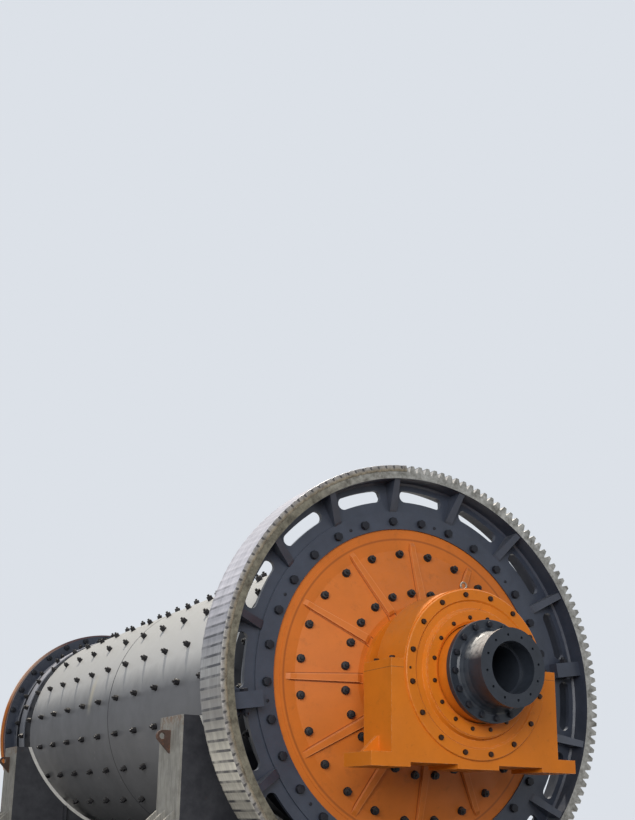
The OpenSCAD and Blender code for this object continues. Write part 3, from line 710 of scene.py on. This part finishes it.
def standing(x, y, z):
    """Places given by their coordinates, facing up, with x as the second direction."""
    origin = np.stack(np.broadcast_arrays(x, y, z), -1).reshape(-1, 3).astype(float)
    outward, along = (np.tile(way, (len(origin), 1)) for way in ([0.0, 0.0, 1.0], [1.0, 0.0, 0.0]))
    return origin, outward, along


def ring_of(name, template, circle, material, body, seed):
    """A ring or grid of equal fasteners, each turned by its own amount about its axis."""
    turn = np.random.default_rng(seed).uniform(-3.14, 3.14, len(circle[0]))
    return solid(name, *placed(template, *circle, turn), material, body)


def lathe(name, profile, material):
    """A closed profile of (radius, y) points carried round the drum's axis in 240 steps."""
    radius, y = (np.array(column)[:, None] for column in zip(*profile))
    a = np.linspace(0.0, 2 * math.pi, 240, endpoint=False)[None]
    points = np.stack([radius * np.cos(a), y + 0.0 * a, AXIS + radius * np.sin(a)], -1).reshape(-1, 3)
    return solid(name, points, [tube_faces(len(profile), 240, closed=True)], material, "drum", 30.0)


def evenly(number, first):
    """Angles of a full circle, in degrees."""
    return first + np.arange(number) * 360.0 / number


END_FINISHES = {
    "flange": "charcoal_enamel", "head": "head_enamel", "head_lining": "manganese_lining",
    "trunnion": "trunnion_enamel", "spout": "spout_enamel", "housing_base": "housing_enamel",
    "housing_cap": "housing_enamel", "cover": "housing_enamel", "seal": "housing_enamel",
    "bush": "bearing_bronze",
}
CRADLE_FINISHES = {
    "webs": "cradle_plate", "posts": "cradle_primer", "sill": "cradle_primer", "saddle": "saddle_strip",
    "eyes": "rusty_eye",
}
NODE_FINISHES = {
    "mill_shell": "shell_enamel", "shell_lining": "manganese_lining",
    "gear_upper_half": "gear_steel", "gear_lower_half": "gear_steel",
    **{f"{end}_{part}": finish for end, _ in ENDS for part, finish in END_FINISHES.items()},
    **{f"{cradle}_{part}": finish for cradle in CRADLES for part, finish in CRADLE_FINISHES.items()},
}


class MILL_OT_frame_finishes(bpy.types.Operator):
    """Give every solid of the frame its finish"""

    bl_idname = "mill.frame_finishes"
    bl_label = "Frame finishes"

    def execute(self, context):
        made = finishes()
        for name, finish in NODE_FINISHES.items():
            for slot in frame["nodes"][name].material_slots:
                slot.material = made[finish]
        return {"FINISHED"}


class MILL_OT_shell_nuts(bpy.types.Operator):
    """Nuts of the lining bolts, in rings along the shell"""

    bl_idname = "mill.shell_nuts"
    bl_label = "Shell nuts"

    def execute(self, context):
        s = context.scene.mill_sizes
        template = nut(s.nut_width, s.nut_height, s.stud_height, s.washer_radius)
        rings = -HALF_SHELL + s.ring_start + s.ring_pitch * np.arange(s.nut_rings)
        rows = evenly(s.nut_rows, math.degrees(s.nut_row))
        grid = on_circle(SHELL_RADIUS, rows, rings, 0.0)
        ring_of("shell_nuts", template, grid, "black_fastener", "drum", 3)
        between = rows + 180.0 / s.nut_rows
        for end, side in ENDS:
            y = side * (HALF_SHELL + COLLAR_NUTS)
            circle = on_circle(SHELL_RADIUS + s.collar_wall, between, [y], 0.0)
            ring_of(f"{end}_collar_nuts", template, circle, "black_fastener", "drum", 5)
        return {"FINISHED"}


class MILL_OT_shell_bands(bpy.types.Operator):
    """Collars at the shell's ends and the weld round its middle"""

    bl_idname = "mill.shell_bands"
    bl_label = "Collars and weld"

    def execute(self, context):
        inner = SHELL_RADIUS - 0.004
        # Name, where the band starts and stops inward from the shell's end, how far it stands out, its finish
        bands = (
            ("collar", 0.500, 0.292, context.scene.mill_sizes.collar_wall, "collar_aluminium"),
            ("narrow_collar", 0.150, 0.110, 0.010, "collar_aluminium"),
            ("dark_band", 0.715, 0.502, 0.003, "band_black"),
            ("dark_line", 0.290, 0.152, 0.003, "band_black"),
        )
        for end, side in ENDS:
            for name, start, stop, rise, finish in bands:
                outer = SHELL_RADIUS + rise
                edge = min(0.003, 0.4 * rise)
                near, far = HALF_SHELL - start, HALF_SHELL - stop
                lathe(f"{end}_{name}", [
                    (inner, side * near), (outer - edge, side * near), (outer, side * (near + edge)),
                    (outer, side * (far - edge)), (outer - edge, side * far), (inner, side * far),
                ], finish)
        half, rise, sunk, middle = 0.011, 0.004, 0.002, 0.015
        arc = np.linspace(0.0, math.pi, 9)
        bead = [(SHELL_RADIUS - sunk + rise * math.sin(t), middle - half * math.cos(t)) for t in arc]
        lathe("shell_weld", [*bead, (inner, middle + half), (inner, middle - half)], "weld_bead")
        return {"FINISHED"}


class MILL_OT_head_nuts(bpy.types.Operator):
    """Nuts of the lining bolts on the cones of both heads, in pairs beside each rib"""

    bl_idname = "mill.head_nuts"
    bl_label = "Head nuts"

    def execute(self, context):
        s = context.scene.mill_sizes
        slope = CONE_RISE / (CONE_OUTER - CONE_INNER)
        lean = math.cos(math.atan(slope))
        template = nut(s.head_nut_width, height=0.034, stud=0.046, washer=0.031)
        aside = 90.0 / HEAD_RIBS
        angles = np.concatenate([evenly(HEAD_RIBS, HEAD_RIB_ANGLE + turn) for turn in (-aside, aside)])
        for end, side in ENDS:
            for name, radius in (("outer", s.outer_nut_circle), ("inner", s.inner_nut_circle)):
                out = CONE_EDGE + slope * (CONE_OUTER - radius)
                circle = on_circle(radius, angles, [side * (HALF_SHELL + out)], side * lean)
                ring_of(f"{end}_{name}_head_nuts", template, circle, "black_fastener", "drum", 11)
        return {"FINISHED"}


class MILL_OT_flange_bolts(bpy.types.Operator):
    """Bolts and nuts through the flanges at both ends of the shell, and the dowels between them"""

    bl_idname = "mill.flange_bolts"
    bl_label = "Flange bolts"

    def execute(self, context):
        s = context.scene.mill_sizes
        head = bolt_head(s.flange_bolt_width, height=0.030, washer=0.033)
        back = nut(s.flange_bolt_width, height=0.038, stud=0.052, washer=0.033)
        dowel = stacked([(0.012, -0.004, 0), (0.012, 0.004, 0), (0.009, 0.006, 0)])
        for (end, side), face, radius, first in zip(
            ENDS, (HUB_FACE, RIM_FACE), (s.hub_circle, s.rim_circle), (3.1, 11.1)
        ):
            angles = evenly(30, first)
            outside = at_end(radius, angles, side, face)
            inside = on_circle(radius, angles, [side * (HALF_SHELL + FLANGE_BACK)], -side)
            pins = at_end(radius, evenly(10, first + 6.0), side, face)
            ring_of(f"{end}_flange_bolts", head, outside, "charcoal_bolt", "drum", 21)
            ring_of(f"{end}_flange_nuts", back, inside, "charcoal_bolt", "drum", 22)
            ring_of(f"{end}_dowels", dowel, pins, "charcoal_bolt", "drum", 23)
        return {"FINISHED"}


class MILL_OT_joint_bolts(bpy.types.Operator):
    """Bolts through the lugs where the halves of the gear meet"""

    bl_idname = "mill.joint_bolts"
    bl_label = "Gear joint bolts"

    def execute(self, context):
        lug, shank, half = 0.055, 0.018, 0.0275
        template = stacked([
            (half * 0.8, -lug - 0.024, 0), (half, -lug - 0.022, 1), (half, -lug, 1), (shank, -lug, 0),
            (shank, lug, 0), (half, lug, 1), (half, lug + 0.030, 1), (shank, lug + 0.032, 0),
            (shank * 0.9, lug + 0.048, 0),
        ])
        middle = (LUG_INNER + GEAR_BORE + 0.003) / 2
        rows = [-HALF_SHELL - out for out in JOINT_ROWS]
        origin, outward, round_about = on_circle(middle, [JOINT_ANGLE, JOINT_ANGLE + 180.0], rows, -1.0)
        places = (origin, round_about, outward)
        ring_of("gear_joint_bolts", template, places, "charcoal_bolt", "drum", 31)
        return {"FINISHED"}


class MILL_OT_transit_film(bpy.types.Operator):
    """Stretch film over part of the teeth, pulled tight from tip to tip"""

    bl_idname = "mill.transit_film"
    bl_label = "Transit film"

    def execute(self, context):
        s = context.scene.mill_sizes
        tips, skin, margin = GEAR_OUTER + 0.002, 0.0012, 0.0045
        near_fold, far_fold = 0.047, 0.014
        pitch = 360.0 / GEAR_TEETH
        start, stop = (
            round((math.degrees(turn) - JOINT_ANGLE) / pitch - 0.5) for turn in (s.film_start, s.film_end)
        )
        teeth = stop - start
        # Six stations a pitch, in degrees from a tip's middle: three on the tip, three in a shallow sag
        tip_middle, gap_middle = 0.0, 1.233
        offset = np.array([-0.42, tip_middle, 0.42, 0.80, gap_middle, 1.666])
        sag = np.tile([0.0, 0.0, 0.0, 0.0012, 0.0018, 0.0012], teeth)
        degrees = (JOINT_ANGLE + (np.arange(start, stop)[:, None] + 0.5) * pitch + offset).ravel()
        # Across the face the film lies flat; it folds over both tooth ends, further down on the near ones
        across = np.linspace(GEAR_LOW.y, GEAR_HIGH.y, 13)
        steps = near_fold * np.array([1.0, 0.7, 0.35, 0.06])
        y = np.concatenate([[GEAR_LOW.y - margin] * 4, across, [GEAR_HIGH.y + margin] * 2])
        drop = np.concatenate([steps, 0.0 * across, [0.003, far_fold]])
        inward = np.concatenate([[skin] * 4, 0.0 * across, [-skin] * 2])
        # A point is (r·cos a, y, axis + r·sin a), with r the tips' radius less sag and drop, plus wrinkles
        # over the gaps: a product of two sine waves that cross
        a = np.radians(degrees)[:, None]
        wrinkle = 0.0009 * np.sin(a * 95.0 + y * 41.0) * np.sin(y * 23.0 + a * 17.0)
        r = tips - sag[:, None] - drop + wrinkle * (sag > 0)[:, None]
        outer = np.stack([r * np.cos(a), y + 0.0 * a, AXIS + r * np.sin(a)], -1)
        inner = np.stack([(r - skin) * np.cos(a), y + inward + 0.0 * a, AXIS + (r - skin) * np.sin(a)], -1)
        points = np.concatenate([outer, inner[:, ::-1]], 1)
        rows, columns = points.shape[:2]
        groups = [tube_faces(rows, columns)]
        first = np.arange(columns)
        for row in (first, (first + (rows - 1) * columns)[::-1]):
            top, under = row[: columns // 2], row[columns // 2 :][::-1]
            groups.append(np.stack([top[:-1], under[:-1], under[1:], top[1:]], -1))
        made = solid("transit_film", points.reshape(-1, 3), groups, "transit_film", "drum", 60.0)
        on_tip, over_gap = (np.tile(offset == middle, teeth) for middle in (tip_middle, gap_middle))
        depth = np.concatenate([drop, drop[::-1]]) / near_fold
        shallow = (depth > 0.0) & (depth < 0.5)
        layers = (np.repeat(on_tip, columns), np.outer(over_gap, shallow), np.tile(depth, rows))
        for name, values in zip(FILM_LAYERS, layers):
            layer = made.data.attributes.new(name, "FLOAT", "POINT")
            layer.data.foreach_set("value", values.ravel().astype(np.float32))
        return {"FINISHED"}


class MILL_OT_bearing_bolts(bpy.types.Operator):
    """Bolts of the bearing covers, seal rings and caps, and the covers' small plugs"""

    bl_idname = "mill.bearing_bolts"
    bl_label = "Bearing bolts"

    def execute(self, context):
        s = context.scene.mill_sizes
        plug = stacked([(0.009, -0.004, 0), (0.009, 0.002, 0), (0.006, 0.003, 0)])
        cover_bolt = bolt_head(width=0.030, height=0.016, washer=0.019)
        seal_bolt = bolt_head(width=0.024, height=0.012, washer=0.015)
        cap_bolt = bolt_head(width=0.036, height=0.022, washer=0.022)
        cap_aside, cap_seat = 0.640, AXIS + 0.058
        # Name, shape, radius of the circle, angles, distance outward from the shell's end, seed of the turns
        rings = (
            ("cover_bolts", cover_bolt, s.cover_circle, evenly(16, 9.5), COVER_FACE, 41),
            ("seal_bolts", seal_bolt, s.seal_circle, evenly(16, 11.25), SEAL_FACE, 42),
            ("upper_plugs", plug, UPPER_PLUG_CIRCLE, [86.3, 273.7], COVER_FACE, 44),
            ("side_plugs", plug, SIDE_PLUG_CIRCLE, [0.0, 180.0], COVER_FACE, 44),
        )
        for end, side in ENDS:
            for name, template, radius, angles, face, seed in rings:
                circle = at_end(radius, angles, side, face)
                ring_of(f"{end}_{name}", template, circle, "housing_bolt", "frame", seed)
            x, out = np.meshgrid([-cap_aside, cap_aside], CAP_BOLT_ROWS)
            seats = standing(x, side * (HALF_SHELL + out), cap_seat)
            ring_of(f"{end}_cap_bolts", cap_bolt, seats, "housing_bolt", "frame", 43)
        return {"FINISHED"}


class MILL_OT_bearing_fittings(bpy.types.Operator):
    """Lifting eye and grease fitting on each bearing cap"""

    bl_idname = "mill.bearing_fittings"
    bl_label = "Bearing fittings"

    def execute(self, context):
        foot = stacked([(0.020, -0.006, 0), (0.020, 0.004, 0), (0.011, 0.010, 0), (0.009, 0.018, 0)])
        nipple = stacked([(0.010, -0.005, 1), (0.010, 0.010, 1), (0.005, 0.012, 0), (0.005, 0.024, 0)])
        ring, wire, eye_x, nipple_x, eye_rise = 0.024, 0.007, -0.022, 0.070, 0.034
        u, v = (np.linspace(0, 2 * math.pi, steps, endpoint=False) for steps in (24, 10))
        u = u[:, None]
        for end, side in ENDS:
            y = side * (HALF_SHELL + CAP_FITTINGS)
            # Torus: the wire's circle is carried round the ring's circle, which stands across the drum's axis
            reach = ring + wire * np.cos(v)
            x = eye_x + reach * np.cos(u)
            z = CAP_CROWN + eye_rise + reach * np.sin(u)
            points = np.stack([x, y + wire * np.sin(v) + 0.0 * u, z], -1).reshape(-1, 3)
            solid(f"{end}_lifting_eye", points, [tube_faces(24, 10, closed=True)], "zinc_fitting", "frame")
            for name, template, at_x in (("eye_foot", foot, eye_x), ("grease_fitting", nipple, nipple_x)):
                top = AXIS + math.sqrt((CAP_CROWN - AXIS) ** 2 - at_x**2)
                place = standing(at_x, y, top)
                ring_of(f"{end}_{name}", template, place, "zinc_fitting", "frame", 51)
        return {"FINISHED"}


class MILL_OT_spout_bolts(bpy.types.Operator):
    """Bolts that hold each spout's flange to its trunnion"""

    bl_idname = "mill.spout_bolts"
    bl_label = "Spout bolts"

    def execute(self, context):
        radius = context.scene.mill_sizes.spout_circle
        template = bolt_head(width=0.036, height=0.022, washer=0.022)
        for end, side in ENDS:
            circle = at_end(radius, evenly(16, 3.4), side, SPOUT_FACE)
            ring_of(f"{end}_spout_bolts", template, circle, "charcoal_bolt", "drum", 61)
        return {"FINISHED"}


class MILL_OT_stage(bpy.types.Operator):
    """Pale floor, soft light and the camera at the photograph's angle"""

    bl_idname = "mill.stage"
    bl_label = "Stage"

    def execute(self, context):
        scene = context.scene
        scene.view_settings.view_transform = "Standard"
        self.floor(scene)
        self.sky(scene)
        self.lamps(scene)
        self.camera(scene)
        return {"FINISHED"}

    def floor(self, scene):
        """A level square far larger than the mill, pale to the eye and dark to the light it throws up."""
        reach = 60.0
        corners = [(-reach, -reach, 0.0), (reach, -reach, 0.0), (reach, reach, 0.0), (-reach, reach, 0.0)]
        mesh = bpy.data.meshes.new("floor")
        mesh.from_pydata(corners, [], [(0, 1, 2, 3)])
        tree, at = begin_finish("pale_concrete")
        colour = blotched(tree, at, "#AFB1B3", 900.0, 0.03)
        seen = add(tree, "ShaderNodeLightPath").outputs
        colour = covered(tree, colour, "#4A4947", seen["Is Diffuse Ray"])
        end_finish(tree, at, colour, 12.0, 0.5, 0.8, 0.95)
        mesh.materials.append(bpy.data.materials["pale_concrete"])
        made = bpy.data.objects.new("floor", mesh)
        scene.collection.objects.link(made)

    def sky(self, scene):
        """A pale sky: as pale as the photograph's to the eye, dimmer and brightest overhead as a light."""
        world = bpy.data.worlds.new("pale_sky")
        world.use_nodes = True
        tree = world.node_tree
        tree.nodes.clear()
        seen = add(tree, "ShaderNodeLightPath").outputs
        direct = seen["Is Camera Ray"]
        for ray in ("Is Glossy Ray", "Is Transmission Ray"):
            direct = add(tree, "ShaderNodeMath", {0: direct, 1: seen[ray]}, operation="MAXIMUM")
        colour = covered(tree, "#D9DEE8", "#DCE1E8", direct)
        way = add(tree, "ShaderNodeTexCoord").outputs["Generated"]
        height = add(tree, "ShaderNodeSeparateXYZ", {0: way}).outputs[2]
        overhead = add(
            tree, "ShaderNodeMapRange", {"Value": height, "From Max": 0.9, "To Min": 0.20, "To Max": 0.44}
        )
        strength = add(tree, "ShaderNodeMix", {0: direct, 2: overhead, 3: 1.0})
        sky = add(tree, "ShaderNodeBackground", {"Color": colour, "Strength": strength})
        add(tree, "ShaderNodeOutputWorld", {"Surface": sky})
        scene.world = world

    def lamps(self, scene):
        """A sun high behind the mill and a wide soft lamp in front of it."""
        sun = bpy.data.lights.new("sun", "SUN")
        sun.energy = 4.7
        sun.angle = math.radians(2.5)
        sun.color = linear("#FFF6E8")
        panel = bpy.data.lights.new("front_panel", "AREA")
        panel.shape = "RECTANGLE"
        panel.size, panel.size_y = 10.0, 6.0
        panel.energy = 325.0
        panel.spread = math.radians(90.0)
        for light, place, target in (
            (sun, (0.07, 0.43, 0.90), (0.0, 0.0, 0.0)), (panel, (-7.5, -12.5, 5.0), (0.0, -3.0, 1.8)),
        ):
            lamp = bpy.data.objects.new(light.name, light)
            lamp.location = place
            lamp.rotation_euler = (Vector(place) - Vector(target)).to_track_quat("Z", "Y").to_euler()
            scene.collection.objects.link(lamp)

    def camera(self, scene):
        """The photograph's camera, from its place, yaw, pitch and roll."""
        yaw, pitch, roll = 0.504, 0.2732, 0.0138
        place = Vector((-4.6390, -10.402, 0.8128))
        forward = Vector((math.sin(yaw) * math.cos(pitch), math.cos(yaw) * math.cos(pitch), math.sin(pitch)))
        level = Vector((math.cos(yaw), -math.sin(yaw), 0.0))
        upright = level.cross(forward)
        right = level * math.cos(roll) + upright * math.sin(roll)
        up = upright * math.cos(roll) - level * math.sin(roll)
        data = bpy.data.cameras.new("camera")
        data.lens = 49.234
        data.sensor_width = 36.0
        data.shift_y = 0.12
        data.clip_end = 200.0
        made = bpy.data.objects.new("camera", data)
        made.matrix_world = Matrix.Translation(place) @ Matrix((right, up, -forward)).transposed().to_4x4()
        scene.collection.objects.link(made)
        scene.camera = made


OPERATORS = (
    MILL_OT_frame_finishes, MILL_OT_shell_nuts, MILL_OT_shell_bands, MILL_OT_head_nuts, MILL_OT_flange_bolts,
    MILL_OT_joint_bolts, MILL_OT_transit_film, MILL_OT_bearing_bolts, MILL_OT_bearing_fittings,
    MILL_OT_spout_bolts, MILL_OT_stage,
)


class MILL_PT_panel(bpy.types.Panel):
    """Sizes, colours and steps of the mill"""

    bl_idname = "MILL_PT_panel"
    bl_label = "Ball mill"
    bl_space_type = "VIEW_3D"
    bl_region_type = "UI"
    bl_category = "Mill"

    def draw(self, context):
        for group in (context.scene.mill_sizes, context.scene.mill_colours):
            column = self.layout.column(align=True)
            for key in group.__annotations__:
                column.prop(group, key)
        for operator in OPERATORS:
            self.layout.operator(operator.bl_idname)


CLASSES = (MillSizes, MillColours, *OPERATORS, MILL_PT_panel)


def register():
    for cls in CLASSES:
        bpy.utils.register_class(cls)
    bpy.types.Scene.mill_sizes = bpy.props.PointerProperty(type=MillSizes)
    bpy.types.Scene.mill_colours = bpy.props.PointerProperty(type=MillColours)


def unregister():
    del bpy.types.Scene.mill_colours
    del bpy.types.Scene.mill_sizes
    for cls in reversed(CLASSES):
        bpy.utils.unregister_class(cls)


def main():
    """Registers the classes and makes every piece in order."""
    register()
    bpy.ops.mill.frame_finishes()
    bpy.ops.mill.shell_nuts()
    bpy.ops.mill.shell_bands()
    bpy.ops.mill.head_nuts()
    bpy.ops.mill.flange_bolts()
    bpy.ops.mill.joint_bolts()
    bpy.ops.mill.transit_film()
    bpy.ops.mill.bearing_bolts()
    bpy.ops.mill.bearing_fittings()
    bpy.ops.mill.spout_bolts()
    bpy.ops.mill.stage()


if __name__ == "__main__":
    main()
